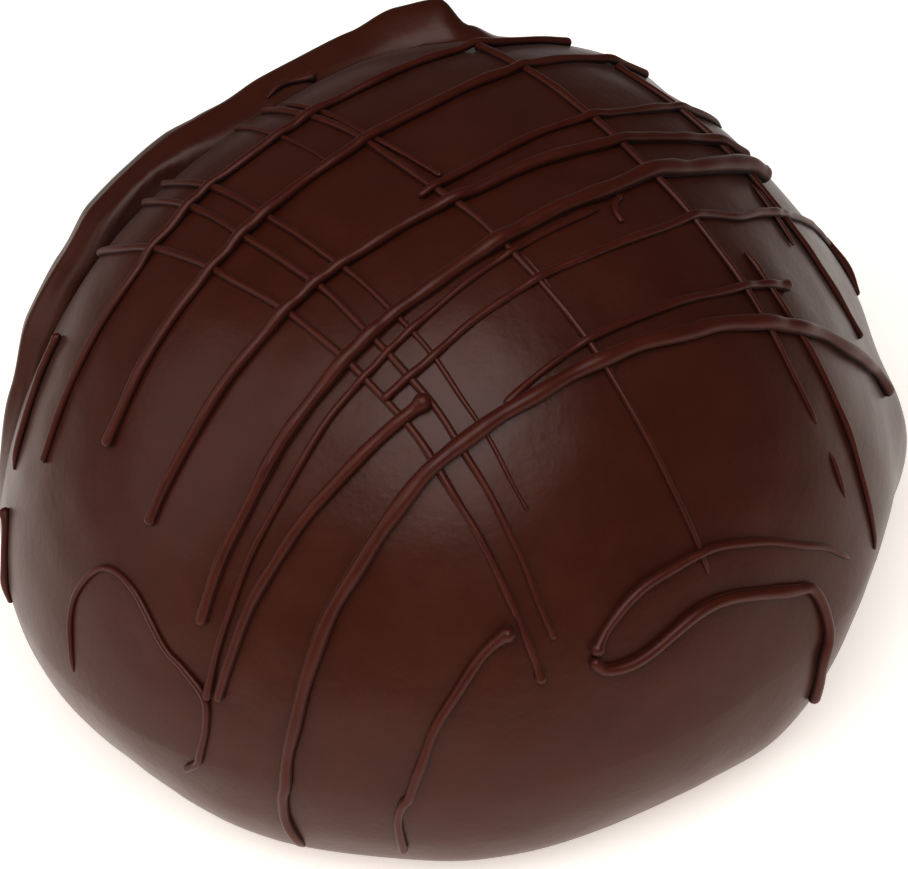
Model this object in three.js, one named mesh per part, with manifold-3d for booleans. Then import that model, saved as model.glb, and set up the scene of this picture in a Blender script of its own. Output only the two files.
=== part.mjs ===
// A dark chocolate truffle: a low dome with a softly rounded foot, a rolled wave of coating that
// climbs round its back left side, and strands of drizzle that cross over its top.
// Millimetres, +Z up. The origin is at the middle of the flat base, which rests on z = 0.

import * as THREE from 'three';
import { mergeVertices } from 'three/addons/utils/BufferGeometryUtils.js';
import Module from 'manifold-3d';

// ---- Driving dimensions of the dome ----
const PLAN_RADIUS = 17.52;
const DOME_HEIGHT = 21.5;
const RIM_HEIGHT = 5.8;          // where the dome is widest
const BASE_TUCK = 3.5;           // how far the base draws in under the widest
const SHOULDER_FULLNESS = 2.59;  // power of the plan distance in the dome's profile
const CROWN_FULLNESS = 1.46;     // power of the height in the dome's profile
const GROUND_FADE = 1.5;         // height over which lumps and wave fade in above the base

// The plan is not quite round: each lobe adds `size` at `peak` degrees and at its repeats.
const PLAN_LOBES = [
  { count: 2, size: 0.63, peak: 48 },
  { count: 3, size: 0.54, peak: 64 },
  { count: 4, size: 0.16, peak: 68 },
  { count: 5, size: 0.07, peak: 41 },
  { count: 6, size: 0.13, peak: 38 },
];

// Lumps and flats of the flank: azimuth and half width in degrees, height, and how far they
// stand out.
const FLANK_LUMPS = [
  { azimuth: 194, width: 12, height: 3, size: 0.07 },
  { azimuth: 216, width: 12, height: 2, size: -0.25 },
  { azimuth: 240, width: 12, height: 1, size: 0.15 },
  { azimuth: 264, width: 12, height: 1, size: 0.16 },
  { azimuth: 288, width: 12, height: 1, size: -0.14 },
  { azimuth: 310, width: 7, height: 1, size: 0.24 },
  { azimuth: 336, width: 12, height: 2, size: -1.13 },
  { azimuth: 2, width: 9, height: 4, size: 0.91 },
  { azimuth: 16, width: 8, height: 8, size: 0.31 },
  { azimuth: 28, width: 7, height: 12, size: -0.33 },
  { azimuth: 40, width: 7, height: 14, size: -0.99 },
];
const LUMP_REACH = 3.0;          // height over which a lump fades into the dome

// ---- Driving dimensions of the rolled wave ----
const WAVE_TOP = 19.3;           // height of the crease where it is highest
const WAVE_MIDDLE = 100;         // azimuth of that place, degrees
const WAVE_HALF_SPAN = 80;       // degrees from there to where the crease meets the base
const WAVE_ARCH = 6.0;           // how long the crease stays high before it falls
const WAVE_SHARPNESS = 0.35;     // how steeply it then falls
const LIP_RISE_WIDTH = 0.9;      // from the crease to the crest of the lip
const LIP_FALL_WIDTH = 7.5;      // from the crest down its outer side
const ROLL_FALL_WIDTH = 1.3;     // how soon the roll on the crest drops to the bank behind it
const ROLL_SHARE = 0.35;         // share of the lip that is that roll
const SOFT_RISE = 1.3;           // how the lip rises where there is no crease: a fillet
const SHARP_RISE = 0.5;          // and where the crease is deep: a quarter round
const CREASE_DEPTH = 0.55;
const CREASE_WIDTH = 0.5;
// How far the lip stands out at each azimuth, and the share of the crease's depth there.
const LIP_STATIONS = [
  { azimuth: 62, lip: 0, crease: 0 },
  { azimuth: 70, lip: 0.1, crease: 0 },
  { azimuth: 76, lip: 0.56, crease: 0 },
  { azimuth: 82, lip: 1.63, crease: 0.1 },
  { azimuth: 90, lip: 1.57, crease: 0.2 },
  { azimuth: 100, lip: 1.17, crease: 0.2 },
  { azimuth: 114, lip: 1.03, crease: 0.2 },
  { azimuth: 126, lip: 1.09, crease: 0.2 },
  { azimuth: 134, lip: 1.05, crease: 0.3 },
  { azimuth: 142, lip: 1.15, crease: 0.5 },
  { azimuth: 150, lip: 1.3, crease: 0.8 },
  { azimuth: 158, lip: 1.27, crease: 1 },
  { azimuth: 165, lip: 1.29, crease: 1 },
  { azimuth: 170, lip: 1, crease: 0.8 },
  { azimuth: 174, lip: 1, crease: 0.5 },
  { azimuth: 177, lip: 0.5, crease: 0.2 },
  { azimuth: 180, lip: 0.1, crease: 0 },
];

// ---- Driving dimensions of the drizzle ----
const THICK_STRAND = 0.4;        // from this width up, a strand has a side more
const THICK_STRAND_SIDES = 5;
const THIN_STRAND_SIDES = 4;
const STRAND_STEP = 3.0;
const PLACE_STEP = 0.4;          // how closely a strand's plan places are laid on the coating
const STRAND_LIFT = 0.35;        // share of its radius by which a strand's middle stands clear
// Each strand runs in plan from `from` to `to`; `bow` is how far its middle lies to the left of
// the straight line, and `sway` how far it swings left and then right of that line.
const LONG_STRANDS = [
  { from: [-16.7, -1.8], to: [-14.2, 0.2], bow: 0.13, sway: 0, width: 0.32 },
  { from: [-15.3, -4.1], to: [6.3, 9.7], bow: 0.41, sway: -0.02, width: 0.36 },
  { from: [-12.6, -6.6], to: [9.2, 8.7], bow: 0.15, sway: 0.06, width: 0.44 },
  { from: [-11.3, -9.8], to: [12.3, 4.6], bow: -0.48, sway: 0.36, width: 0.48 },
  { from: [-0.2, -2.5], to: [11.8, 6.9], bow: -0.55, sway: 0.1, width: 0.34 },
  { from: [-9.9, -12.7], to: [12.9, 4], bow: -1.08, sway: 0.39, width: 0.6 },
  { from: [-10.1, -13.8], to: [6.2, -3.2], bow: -0.09, sway: 0.01, width: 0.28 },
  { from: [-9.7, -14], to: [-0.7, -10.3], bow: 0.02, sway: 0.02, width: 0.46 },
  { from: [1.9, -10.7], to: [12.9, -2.9], bow: -0.3, sway: 0.14, width: 0.32 },
];
const CROSS_STRANDS = [
  { from: [-12.5, 2.5], to: [2, -16.4], bow: 0.36, sway: -0.18, width: 0.3 },
  { from: [-10.5, 3.4], to: [2.6, -15.7], bow: 0.12, sway: -0.15, width: 0.28 },
  { from: [-9.7, 3.8], to: [2.2, -13.3], bow: 0.23, sway: -0.09, width: 0.26 },
  { from: [-5.7, 6.3], to: [8.4, -13.3], bow: 0.09, sway: -0.03, width: 0.28 },
  { from: [2.7, 7.7], to: [13.2, -7.5], bow: -0.09, sway: -0.06, width: 0.3 },
  { from: [11.4, -2.7], to: [15.1, -8.3], bow: 0.3, sway: -0.14, width: 0.28 },
  { from: [7.9, 7.4], to: [15.8, -0.1], bow: -0.22, sway: -0.09, width: 0.3 },
];
// Strands that curl or turn back, as the few plan points that their turns need.
const CURLED_STRANDS = [
  {
    width: 0.32,
    route: [[-2.3, -10.2], [1, -8.2], [4.5, -6], [7.9, -3.9], [9.9, -2], [11.5, -0.7],
      [12.6, 1], [13.6, 2.6], [14.3, 3.9], [14.9, 5.2], [15.4, 6]],
  },
  {
    width: 0.6,
    route: [[-9.9, -19.8], [-9.4, -18.8], [-8.9, -17.6], [-8.4, -16.8], [-7.9, -16.1],
      [-7.5, -15.8], [-6.4, -15.1], [-4.6, -14.1], [-2.4, -12.9], [0.1, -11.7], [3, -10.4],
      [6.2, -8.6], [9.2, -7.1], [11.9, -5.4], [14.4, -3.3], [15.6, -2], [16.1, -1.2],
      [16.5, -0.8]],
  },
  {
    width: 0.34,
    route: [[13.9, -9.8], [12.8, -10.5], [9.7, -12.2], [6.2, -14.2], [4.6, -15.2],
      [3.9, -15.8]],
  },
  {
    width: 0.46,
    route: [[3.8, -15.9], [4.3, -16], [5.6, -15.5], [8, -14], [11.4, -12.1], [12.2, -11.6],
      [12.7, -11.6], [12.8, -12], [13.2, -12.8], [14.6, -14.4]],
  },
  {
    width: 0.26,
    route: [[-15.2, -9.5], [-14.9, -8.8], [-14.3, -8.8], [-13.3, -9.4], [-12.3, -10.6],
      [-11.4, -12.2], [-10.8, -12.9], [-10.2, -13.7], [-10.3, -14], [-10.7, -14.1],
      [-11.8, -14.2]],
  },
  {
    width: 0.36,
    route: [[1.2, -15.6], [-0.1, -16], [-1.4, -16.6], [-2.1, -16.9], [-2.6, -17.1],
      [-3.1, -17.2], [-3.5, -17.3], [-3.9, -17.9], [-4.2, -18.7], [-4.6, -20.4]],
  },
  {
    width: 0.42,
    route: [[-17.2, -2.2], [-17.3, -2.8], [-17.5, -3.2], [-17.7, -3.5], [-18.2, -3.8]],
  },
  {
    width: 0.3,
    route: [[-5.4, 7.2], [-4.6, 7.8], [-3.5, 8.3]],
  },
  {
    width: 0.5,
    route: [[15.2, 6.1], [15.6, 5.7], [15.9, 5.2], [16.1, 4.5]],
  },
];
// Round ends, where a strand let go in a bead: plan place and radius.
const BEADS = [
  { at: [-12.6, -6.6], radius: 0.27 },
  { at: [-11.3, -9.8], radius: 0.28 },
  { at: [-9.9, -12.7], radius: 0.28 },
  { at: [-0.7, -10.3], radius: 0.34 },
  { at: [2, -16.4], radius: 0.24 },
  { at: [1.2, -15.6], radius: 0.3 },
  { at: [3.8, -15.9], radius: 0.34 },
  { at: [12.9, 4], radius: 0.36 },
  { at: [-3.5, 8.3], radius: 0.24 },
];
const BEAD_TURNS = 8;
const BEAD_RINGS = 6;

// ---- Fineness of the faceted solid ----
const AZIMUTH_STEPS = 54;
const CROWN_ROWS = 7;
const FLANK_ROWS = 8;
const CROWDING = 1.4;            // above 1, the rows crowd towards the crease
const RIM_ROWS = 6;
const CREASE_SAMPLES = 100;
const LOWEST_CREASE_ROW = 12;

const QUARTER_TURN = 90;         // degrees
const LOWEST_DRAPE = 85;         // how far round under the widest a strand may go, degrees
const HALF_TURN = Math.PI;
const toRadians = THREE.MathUtils.degToRad;
const toDegrees = THREE.MathUtils.radToDeg;

// Distance round the turn between two azimuths, in degrees, from -180 to 180.
function turnBetween(azimuth, place) {
  return THREE.MathUtils.euclideanModulo(azimuth - place + 180, 360) - 180;
}

// Radius of the plan at an azimuth in degrees.
function planRadius(azimuth) {
  let radius = PLAN_RADIUS;
  for (const lobe of PLAN_LOBES) {
    radius += lobe.size * Math.cos(toRadians(lobe.count * (azimuth - lobe.peak)));
  }
  return radius;
}

// Height of the dome's face over a share of the plan radius: a superellipse on the rim.
function profileHeight(share) {
  const fall = Math.max(0, 1 - share ** SHOULDER_FULLNESS);
  return RIM_HEIGHT + (DOME_HEIGHT - RIM_HEIGHT) * fall ** (1 / CROWN_FULLNESS);
}

// Share of the plan radius at which the dome's face has a height: the same curve, solved back.
function profileShare(height) {
  const rise = THREE.MathUtils.clamp((height - RIM_HEIGHT) / (DOME_HEIGHT - RIM_HEIGHT), 0, 1);
  return (1 - rise ** CROWN_FULLNESS) ** (1 / SHOULDER_FULLNESS);
}

// Outward direction of the dome's face at a share of the plan radius and an azimuth.
function profileNormal(share, azimuth) {
  const angle = toRadians(azimuth);
  const rise = (profileHeight(share) - RIM_HEIGHT) / (DOME_HEIGHT - RIM_HEIGHT);
  const outward = (SHOULDER_FULLNESS * share ** (SHOULDER_FULLNESS - 1)) / planRadius(azimuth);
  const upward = (CROWN_FULLNESS * rise ** (CROWN_FULLNESS - 1)) / (DOME_HEIGHT - RIM_HEIGHT);
  const direction = new THREE.Vector3(Math.cos(angle) * outward, Math.sin(angle) * outward, upward);
  return direction.normalize();
}

// Height of the wave's crease at an azimuth: an arch that comes down to the base at both ends.
function creaseHeight(azimuth) {
  const reach = Math.min(1, Math.abs(turnBetween(azimuth, WAVE_MIDDLE)) / WAVE_HALF_SPAN);
  return WAVE_TOP * (1 - reach ** WAVE_ARCH) ** WAVE_SHARPNESS;
}

// Lip height and crease share at an azimuth, eased from one station to the next.
function lipAt(azimuth) {
  const place = THREE.MathUtils.euclideanModulo(azimuth, 360);
  for (let i = 1; i < LIP_STATIONS.length; i += 1) {
    const before = LIP_STATIONS[i - 1];
    const after = LIP_STATIONS[i];
    if (place >= before.azimuth && place <= after.azimuth) {
      const share = THREE.MathUtils.smoothstep(place, before.azimuth, after.azimuth);
      return {
        lip: THREE.MathUtils.lerp(before.lip, after.lip, share),
        crease: THREE.MathUtils.lerp(before.crease, after.crease, share),
      };
    }
  }
  return { lip: 0, crease: 0 };
}

// Points along the crease, each with the lip that rises there. They crowd where it falls to the
// base, as the sine of an even run does near its quarter turn.
function sampleCrease() {
  const first = Math.asin((LIP_STATIONS[0].azimuth - WAVE_MIDDLE) / WAVE_HALF_SPAN);
  const samples = [];
  for (let i = 0; i <= CREASE_SAMPLES; i += 1) {
    const run = THREE.MathUtils.lerp(first, HALF_TURN / 2, i / CREASE_SAMPLES);
    const azimuth = WAVE_MIDDLE + WAVE_HALF_SPAN * Math.sin(run);
    const height = creaseHeight(azimuth);
    const sunk = Math.max(0, 1 - height / RIM_HEIGHT);
    const drawnIn = BASE_TUCK * (1 - Math.sqrt(1 - sunk ** 2));
    const radius = planRadius(azimuth) * profileShare(height) - drawnIn;
    const angle = toRadians(azimuth);
    samples.push({
      point: new THREE.Vector3(radius * Math.cos(angle), radius * Math.sin(angle), height),
      ...lipAt(azimuth),
    });
  }
  return samples;
}
const CREASE = sampleCrease();

// How far the coating stands out from the plain dome at a point of it: the wave and the lumps.
function relief(point, azimuth) {
  let nearest = CREASE[0];
  let distance = Infinity;
  for (const sample of CREASE) {
    const away = sample.point.distanceTo(point);
    if (away < distance) {
      distance = away;
      nearest = sample;
    }
  }
  const rise = Math.min(1, distance / LIP_RISE_WIDTH);
  const softness = THREE.MathUtils.lerp(SOFT_RISE, SHARP_RISE, nearest.crease);
  const beyond = Math.max(0, distance - LIP_RISE_WIDTH);
  const roll = ROLL_SHARE * Math.exp(-((beyond / ROLL_FALL_WIDTH) ** 2));
  const bank = 0.5 + 0.5 * Math.cos(HALF_TURN * Math.min(1, beyond / LIP_FALL_WIDTH));
  const lip = nearest.lip * (1 - (1 - rise) ** 2) ** softness * (roll + (1 - ROLL_SHARE) * bank);
  const groove = CREASE_DEPTH * nearest.crease * Math.exp(-((distance / CREASE_WIDTH) ** 2));
  let standing = (point.z < creaseHeight(azimuth) ? lip : 0) - groove;
  for (const lump of FLANK_LUMPS) {
    const aside = turnBetween(azimuth, lump.azimuth) / lump.width;
    const above = (point.z - lump.height) / LUMP_REACH;
    standing += lump.size * Math.exp(-(aside ** 2) - above ** 2);
  }
  return standing;
}

// A point of the coating at a share of the plan radius and an azimuth, with the way out there.
function coatPoint(share, azimuth) {
  const radius = planRadius(azimuth) * share;
  const angle = toRadians(azimuth);
  const point = new THREE.Vector3(
    radius * Math.cos(angle),
    radius * Math.sin(angle),
    profileHeight(share),
  );
  const normal = profileNormal(share, azimuth);
  point.addScaledVector(normal, relief(point, azimuth));
  return { point, normal };
}

// A point under the widest, where `bend` goes from 0 there to 90 degrees on the base: a quarter
// ellipse that draws in.
function rimPoint(bend, azimuth) {
  const angle = toRadians(azimuth);
  const turn = toRadians(bend);
  const outward = new THREE.Vector3(Math.cos(angle), Math.sin(angle), 0);
  const radius = planRadius(azimuth) - BASE_TUCK * (1 - Math.cos(turn));
  const point = outward.clone().multiplyScalar(radius).setZ(RIM_HEIGHT * (1 - Math.sin(turn)));
  const normal = outward.multiplyScalar(Math.cos(turn) / BASE_TUCK);
  normal.setZ(-Math.sin(turn) / RIM_HEIGHT).normalize();
  const ground = Math.sin((HALF_TURN / 2) * Math.min(1, point.z / GROUND_FADE));
  point.addScaledVector(normal, relief(point, azimuth) * ground);
  return { point, normal };
}

// The point over a place in plan. A place past the widest is carried that far down under it.
function drape(place) {
  const azimuth = toDegrees(Math.atan2(place.y, place.x));
  const share = place.length() / planRadius(azimuth);
  if (share <= 1) {
    return coatPoint(share, azimuth);
  }
  const past = (share - 1) * planRadius(azimuth);
  return rimPoint(Math.min(LOWEST_DRAPE, toDegrees(past / RIM_HEIGHT)), azimuth);
}

// A three.js geometry as a solid that can be joined.
function toSolid(library, geometry) {
  geometry.deleteAttribute('normal');
  geometry.deleteAttribute('uv');
  const merged = mergeVertices(geometry);
  return new library.Manifold(new library.Mesh({
    numProp: 3,
    vertProperties: new Float32Array(merged.attributes.position.array),
    triVerts: new Uint32Array(merged.index.array),
  }));
}

// The dome: a lathed net whose vertices are carried onto the form of the coating.
function makeDome() {
  const rows = CROWN_ROWS + FLANK_ROWS + RIM_ROWS + 1;
  const net = [];
  for (let row = 0; row <= rows; row += 1) {
    net.push(new THREE.Vector2(row === 0 || row === rows ? 0 : 1, row));
  }
  const geometry = new THREE.LatheGeometry(net, AZIMUTH_STEPS);
  const position = geometry.attributes.position;
  for (let i = 0; i < position.count; i += 1) {
    const azimuth = (360 * Math.floor(i / (rows + 1))) / AZIMUTH_STEPS;
    const row = rows - (i % (rows + 1));
    const point = netPoint(row, azimuth);
    position.setXYZ(i, point.x, point.y, point.z);
  }
  return geometry;
}

// Where row `row` of the net lies: crown rows down to the crease, flank rows down to the widest,
// rim rows down to the base, and last the middle of the base. The rows above the widest are
// spaced by the profile's angle a, where the share of the plan radius is sin(a) ** (2 / shoulder).
function netPoint(row, azimuth) {
  const crease = profileShare(Math.max(creaseHeight(azimuth), LOWEST_CREASE_ROW));
  const creaseAngle = Math.asin(crease ** (SHOULDER_FULLNESS / 2));
  if (row <= CROWN_ROWS + FLANK_ROWS) {
    const angle = row <= CROWN_ROWS
      ? creaseAngle * (1 - (1 - row / CROWN_ROWS) ** CROWDING)
      : THREE.MathUtils.lerp(
        creaseAngle,
        HALF_TURN / 2,
        ((row - CROWN_ROWS) / FLANK_ROWS) ** CROWDING,
      );
    return coatPoint(Math.sin(angle) ** (2 / SHOULDER_FULLNESS), azimuth).point;
  }
  if (row <= CROWN_ROWS + FLANK_ROWS + RIM_ROWS) {
    const bend = (QUARTER_TURN * (row - CROWN_ROWS - FLANK_ROWS)) / RIM_ROWS;
    return rimPoint(bend, azimuth).point;
  }
  return new THREE.Vector3(0, 0, 0);
}

// A round strand along the points of a route that already lies on the coating.
function makeStrand(route, width) {
  const path = new THREE.CatmullRomCurve3(route);
  const sides = width >= THICK_STRAND ? THICK_STRAND_SIDES : THIN_STRAND_SIDES;
  const section = new THREE.Shape();
  for (let side = 0; side < sides; side += 1) {
    const angle = (2 * HALF_TURN * side) / sides;
    const corner = [0.5 * width * Math.cos(angle), 0.5 * width * Math.sin(angle)];
    if (side === 0) {
      section.moveTo(...corner);
    } else {
      section.lineTo(...corner);
    }
  }
  const steps = Math.max(3, Math.round(path.getLength() / STRAND_STEP));
  return new THREE.ExtrudeGeometry(section, { steps, extrudePath: path, bevelEnabled: false });
}

// Plan places along a strand that runs nearly straight, with its bow and its sway.
function straightPlaces({ from, to, bow, sway }) {
  const start = new THREE.Vector2(...from);
  const run = new THREE.Vector2(...to).sub(start);
  const left = new THREE.Vector2(-run.y, run.x).normalize();
  const count = Math.round(run.length() / PLACE_STEP);
  const places = [];
  for (let i = 0; i <= count; i += 1) {
    const share = i / count;
    const aside = 4 * bow * share * (1 - share) + sway * Math.sin(2 * HALF_TURN * share);
    places.push(start.clone().addScaledVector(run, share).addScaledVector(left, aside));
  }
  return places;
}

// Plan places along a strand that curls.
function curledPlaces({ route }) {
  const curve = new THREE.SplineCurve(route.map((place) => new THREE.Vector2(...place)));
  return curve.getPoints(Math.round(curve.getLength() / PLACE_STEP));
}

// A strand laid on the coating over its places in plan.
function layStrand(places, width) {
  const route = places.map((place) => {
    const { point, normal } = drape(place);
    return point.addScaledVector(normal, 0.5 * width * STRAND_LIFT);
  });
  return makeStrand(route, width);
}

function makeBead({ at, radius }) {
  const bead = new THREE.SphereGeometry(radius, BEAD_TURNS, BEAD_RINGS);
  const { point, normal } = drape(new THREE.Vector2(...at));
  point.addScaledVector(normal, radius * STRAND_LIFT);
  return bead.translate(point.x, point.y, point.z);
}

// Everything fused: sealed hollows and loose scraps come apart as pieces of their own, and only
// the truffle itself is kept.
function fuse(library) {
  let whole = toSolid(library, makeDome());
  const straight = [...LONG_STRANDS, ...CROSS_STRANDS].map((strand) => (
    layStrand(straightPlaces(strand), strand.width)
  ));
  const curled = CURLED_STRANDS.map((strand) => layStrand(curledPlaces(strand), strand.width));
  const pieces = [...straight, ...curled, ...BEADS.map(makeBead)];
  for (const piece of pieces) {
    whole = whole.add(toSolid(library, piece));
  }
  return whole.decompose().reduce((best, piece) => (
    piece.volume() > best.volume() ? piece : best
  ));
}

function toGeometry(solid) {
  const mesh = solid.getMesh();
  const geometry = new THREE.BufferGeometry();
  geometry.setAttribute('position', new THREE.BufferAttribute(mesh.vertProperties, 3));
  geometry.setIndex(new THREE.BufferAttribute(mesh.triVerts, 1));
  geometry.computeVertexNormals();
  return geometry;
}

const library = await Module();
library.setup();

const chocolate = new THREE.MeshStandardMaterial({
  color: 0x45291f,
  roughness: 0.42,
  metalness: 0,
});
const truffle = new THREE.Mesh(toGeometry(fuse(library)), chocolate);
truffle.name = 'truffle';

const part = new THREE.Group();
part.add(truffle);
export default part;
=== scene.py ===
"""A dark chocolate truffle: dipped coat, rolled wave of coating and crossed strands of drizzle.

The coat is one closed skin worked out from the profile of a low dome. The drizzle is swept along
routes that are laid down on that skin, first the cross strands and then the long ones over them.
Sizes are in millimetres and become metres where a mesh is made.
"""

import logging
import math
from dataclasses import dataclass, field
from enum import Enum
from typing import Any, Sequence

import bpy
import numpy as np
from mathutils import Matrix, Vector


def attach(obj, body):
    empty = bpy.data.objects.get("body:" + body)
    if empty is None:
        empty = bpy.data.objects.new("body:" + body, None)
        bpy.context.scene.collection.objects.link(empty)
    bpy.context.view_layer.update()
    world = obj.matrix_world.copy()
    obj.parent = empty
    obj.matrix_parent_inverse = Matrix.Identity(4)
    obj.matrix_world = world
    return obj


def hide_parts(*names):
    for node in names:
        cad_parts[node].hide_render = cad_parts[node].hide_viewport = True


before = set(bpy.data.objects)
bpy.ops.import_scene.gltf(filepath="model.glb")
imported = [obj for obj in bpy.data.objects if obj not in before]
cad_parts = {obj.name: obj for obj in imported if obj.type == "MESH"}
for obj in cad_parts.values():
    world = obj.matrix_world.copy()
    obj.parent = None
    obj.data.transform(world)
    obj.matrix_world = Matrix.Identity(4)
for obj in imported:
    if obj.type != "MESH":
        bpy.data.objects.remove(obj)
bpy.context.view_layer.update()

LOG = logging.getLogger("truffle")
Array = np.ndarray
MM = 0.001
BODY = "root"
NODE = "truffle"
# name of the mesh attribute that holds shade painted into the colour: in the groove by the roll
# and on the strands' lower sides
PAINTED_SHADE = "painted_shade"
TINY = 1e-12
POINTS_A_BATCH = 6000
FEWEST_PLACES = 8
WAVE_SPREAD = (0.7, 1.5)
WAVE_CREST = 1.6


class StrandEnd(Enum):
    """How a strand of drizzle ends: its bead's swelling over the strand's own radius."""

    BEAD = 0.55
    BLUNT = 0.12
    THIN = -0.55


# --- Small tools ---


def linear_colour(code: str) -> tuple[float, float, float, float]:
    """Turns a colour as it looks on a screen into the linear values that a shader takes.

    Args:
        code: The sRGB colour as six hex digits, with or without a leading #.

    Returns:
        Linear red, green and blue, and an alpha of 1.
    """
    digits = code.lstrip("#")
    channels = [int(digits[i:i + 2], 16) / 255 for i in (0, 2, 4)]
    linear = [c / 12.92 if c <= 0.04045 else ((c + 0.055) / 1.055) ** 2.4 for c in channels]
    return (linear[0], linear[1], linear[2], 1.0)


def add_node(
    tree: bpy.types.NodeTree,
    kind: str,
    settings: dict[str, Any] | None = None,
    values: dict[str | int, Any] | None = None,
    links: dict[str | int, bpy.types.NodeSocket] | None = None,
) -> bpy.types.Node:
    """Adds one node with its settings, its socket values and the links that feed it.

    Args:
        tree: The node tree to add to.
        kind: The node's type name.
        settings: Properties of the node itself.
        values: Values for its unlinked input sockets, by name.
        links: Output sockets that feed its inputs, by the input's name.

    Returns:
        The new node.
    """
    node = tree.nodes.new(kind)
    for name, value in (settings or {}).items():
        setattr(node, name, value)
    for name, value in (values or {}).items():
        node.inputs[name].default_value = value
    for name, source in (links or {}).items():
        tree.links.new(source, node.inputs[name])
    return node


def make_piece(
    name: str, vertices: Array, faces: list[list[int]], painted_shade: Array
) -> bpy.types.Object:
    """Makes a smooth-shaded mesh piece at the origin that rides on the truffle's body.

    Args:
        name: The piece's name.
        vertices: Points in millimetres, one a row.
        faces: Lists of vertex numbers, wound so that they face out.
        painted_shade: Shade painted into the colour at each vertex, from 0 to 1.

    Returns:
        The new object, which stands for the faceted solid.
    """
    mesh = bpy.data.meshes.new(name)
    mesh.from_pydata((vertices * MM).tolist(), [], faces)
    layer = mesh.attributes.new(PAINTED_SHADE, "FLOAT", "POINT")
    layer.data.foreach_set("value", np.clip(painted_shade, 0, 1).astype(np.float32))
    mesh.validate()
    mesh.shade_smooth()
    piece = bpy.data.objects.new(name, mesh)
    bpy.context.scene.collection.objects.link(piece)
    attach(piece, BODY)
    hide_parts(NODE)
    return piece


def unit(vectors: Array) -> Array:
    """Scales each row to length one."""
    return vectors / np.maximum(np.linalg.norm(vectors, axis=-1, keepdims=True), TINY)


def bell(distance: Array) -> Array:
    """A bell curve exp(-d*d) of a distance in units of its width."""
    return np.exp(-(distance**2))


def turn_between(azimuth: Array, place: float) -> Array:
    """Signed turn in degrees from a place to each azimuth, from -180 to 180."""
    return (azimuth - place + 180) % 360 - 180


def eased(place: Array, stations: Sequence[float], sizes: Sequence[float]) -> Array:
    """Goes from size to size with a level start and end at each station.

    Args:
        place: Where the sizes are wanted.
        stations: Rising places at which a size is stated.
        sizes: The size at each station.

    Returns:
        The sizes, by a cubic ease s*s*(3-2s) inside each stretch.
    """
    at = np.asarray(stations, float)
    size = np.asarray(sizes, float)
    inside = np.clip(np.searchsorted(at, place) - 1, 0, len(at) - 2)
    share = np.clip((place - at[inside]) / (at[inside + 1] - at[inside]), 0, 1)
    share = share * share * (3 - 2 * share)
    return size[inside] + (size[inside + 1] - size[inside]) * share


def ripples(points: Array, wavelength: float, seed: int, count: int = 28) -> Array:
    """A smooth random field: the sum of plane waves with random directions and phases.

    The wavelengths spread about the middle one, and the sum is scaled by the root of the count.

    Args:
        points: Places in millimetres.
        wavelength: The middle wavelength in millimetres.
        seed: Seed of the draw.
        count: How many waves are summed.

    Returns:
        One value a point, mostly between -1 and 1.
    """
    draw = np.random.default_rng(seed)
    directions = unit(draw.normal(size=(count, 3)))
    numbers = 2 * np.pi / (wavelength * draw.uniform(*WAVE_SPREAD, count))
    phases = draw.uniform(0, 2 * np.pi, count)
    waves = np.sin(points @ (directions * numbers[:, None]).T + phases)
    return waves.sum(axis=1) / math.sqrt(count / 2) / WAVE_CREST


def through_points(points: Sequence[Sequence[float]], spacing: float) -> Array:
    """A smooth run through given points: a Catmull-Rom cubic in each stretch.

    Args:
        points: The places that the run goes through.
        spacing: About how far apart the places of the result are.

    Returns:
        Places along the run, one a row.
    """
    knots = np.asarray(points, float)
    padded = np.vstack([2 * knots[0] - knots[1], knots, 2 * knots[-1] - knots[-2]])
    parts = []
    for i in range(len(knots) - 1):
        p0, p1, p2, p3 = padded[i:i + 4]
        steps = max(2, int(np.linalg.norm(p2 - p1) / spacing))
        t = np.linspace(0, 1, steps, endpoint=False)[:, None]
        cubic = -p0 + 3 * p1 - 3 * p2 + p3
        parts.append(0.5 * (2 * p1 + (p2 - p0) * t + (2 * p0 - 5 * p1 + 4 * p2 - p3) * t**2
                            + cubic * t**3))
    return np.vstack([*parts, knots[-1:]])


def distances(run: Array) -> Array:
    """Distance of each place of a run from its start: the sum of the steps."""
    steps = np.linalg.norm(np.diff(run, axis=0), axis=1)
    return np.concatenate([[0], np.cumsum(steps)])


def carried(values: Array, along: Array, stations: Array) -> Array:
    """Carries values along a run over to other stations, straight between their neighbours.

    Args:
        values: Values of any width, one row a place.
        along: Distance of each place from the run's start.
        stations: Distances at which the values are wanted.

    Returns:
        The values, one row a station.
    """
    columns = range(values.shape[1])
    return np.stack([np.interp(stations, along, values[:, k]) for k in columns], axis=1)


def closed_net(rows: int, columns: int, offset: int = 0) -> list[list[int]]:
    """Faces of a round net of vertices, row after row, that a fan closes at each end.

    Args:
        rows: How many rows the net has.
        columns: How many vertices a row has. The two end points follow the last row.
        offset: Number of the first vertex.

    Returns:
        Quads between the rows and triangles to the two end points, all facing out.
    """
    column = np.arange(columns)
    after = (column + 1) % columns
    row = (np.arange(rows - 1) * columns)[:, None]
    quads = np.stack(
        [row + column, row + columns + column, row + columns + after, row + after], axis=-1,
    ).reshape(-1, 4)
    start, end, tail = rows * columns, rows * columns + 1, (rows - 1) * columns
    start_fan = np.stack([np.full_like(column, start), column, after], axis=1)
    end_fan = np.stack([np.full_like(column, end), tail + after, tail + column], axis=1)
    return [face for part in (quads, start_fan, end_fan) for face in (part + offset).tolist()]


# --- The form of the coat ---


@dataclass(frozen=True)
class Lobe:
    """A gentle wave of the plan's outline: its count round the turn, size and a peak's place."""

    count: int
    size: float
    peak: float


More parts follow.
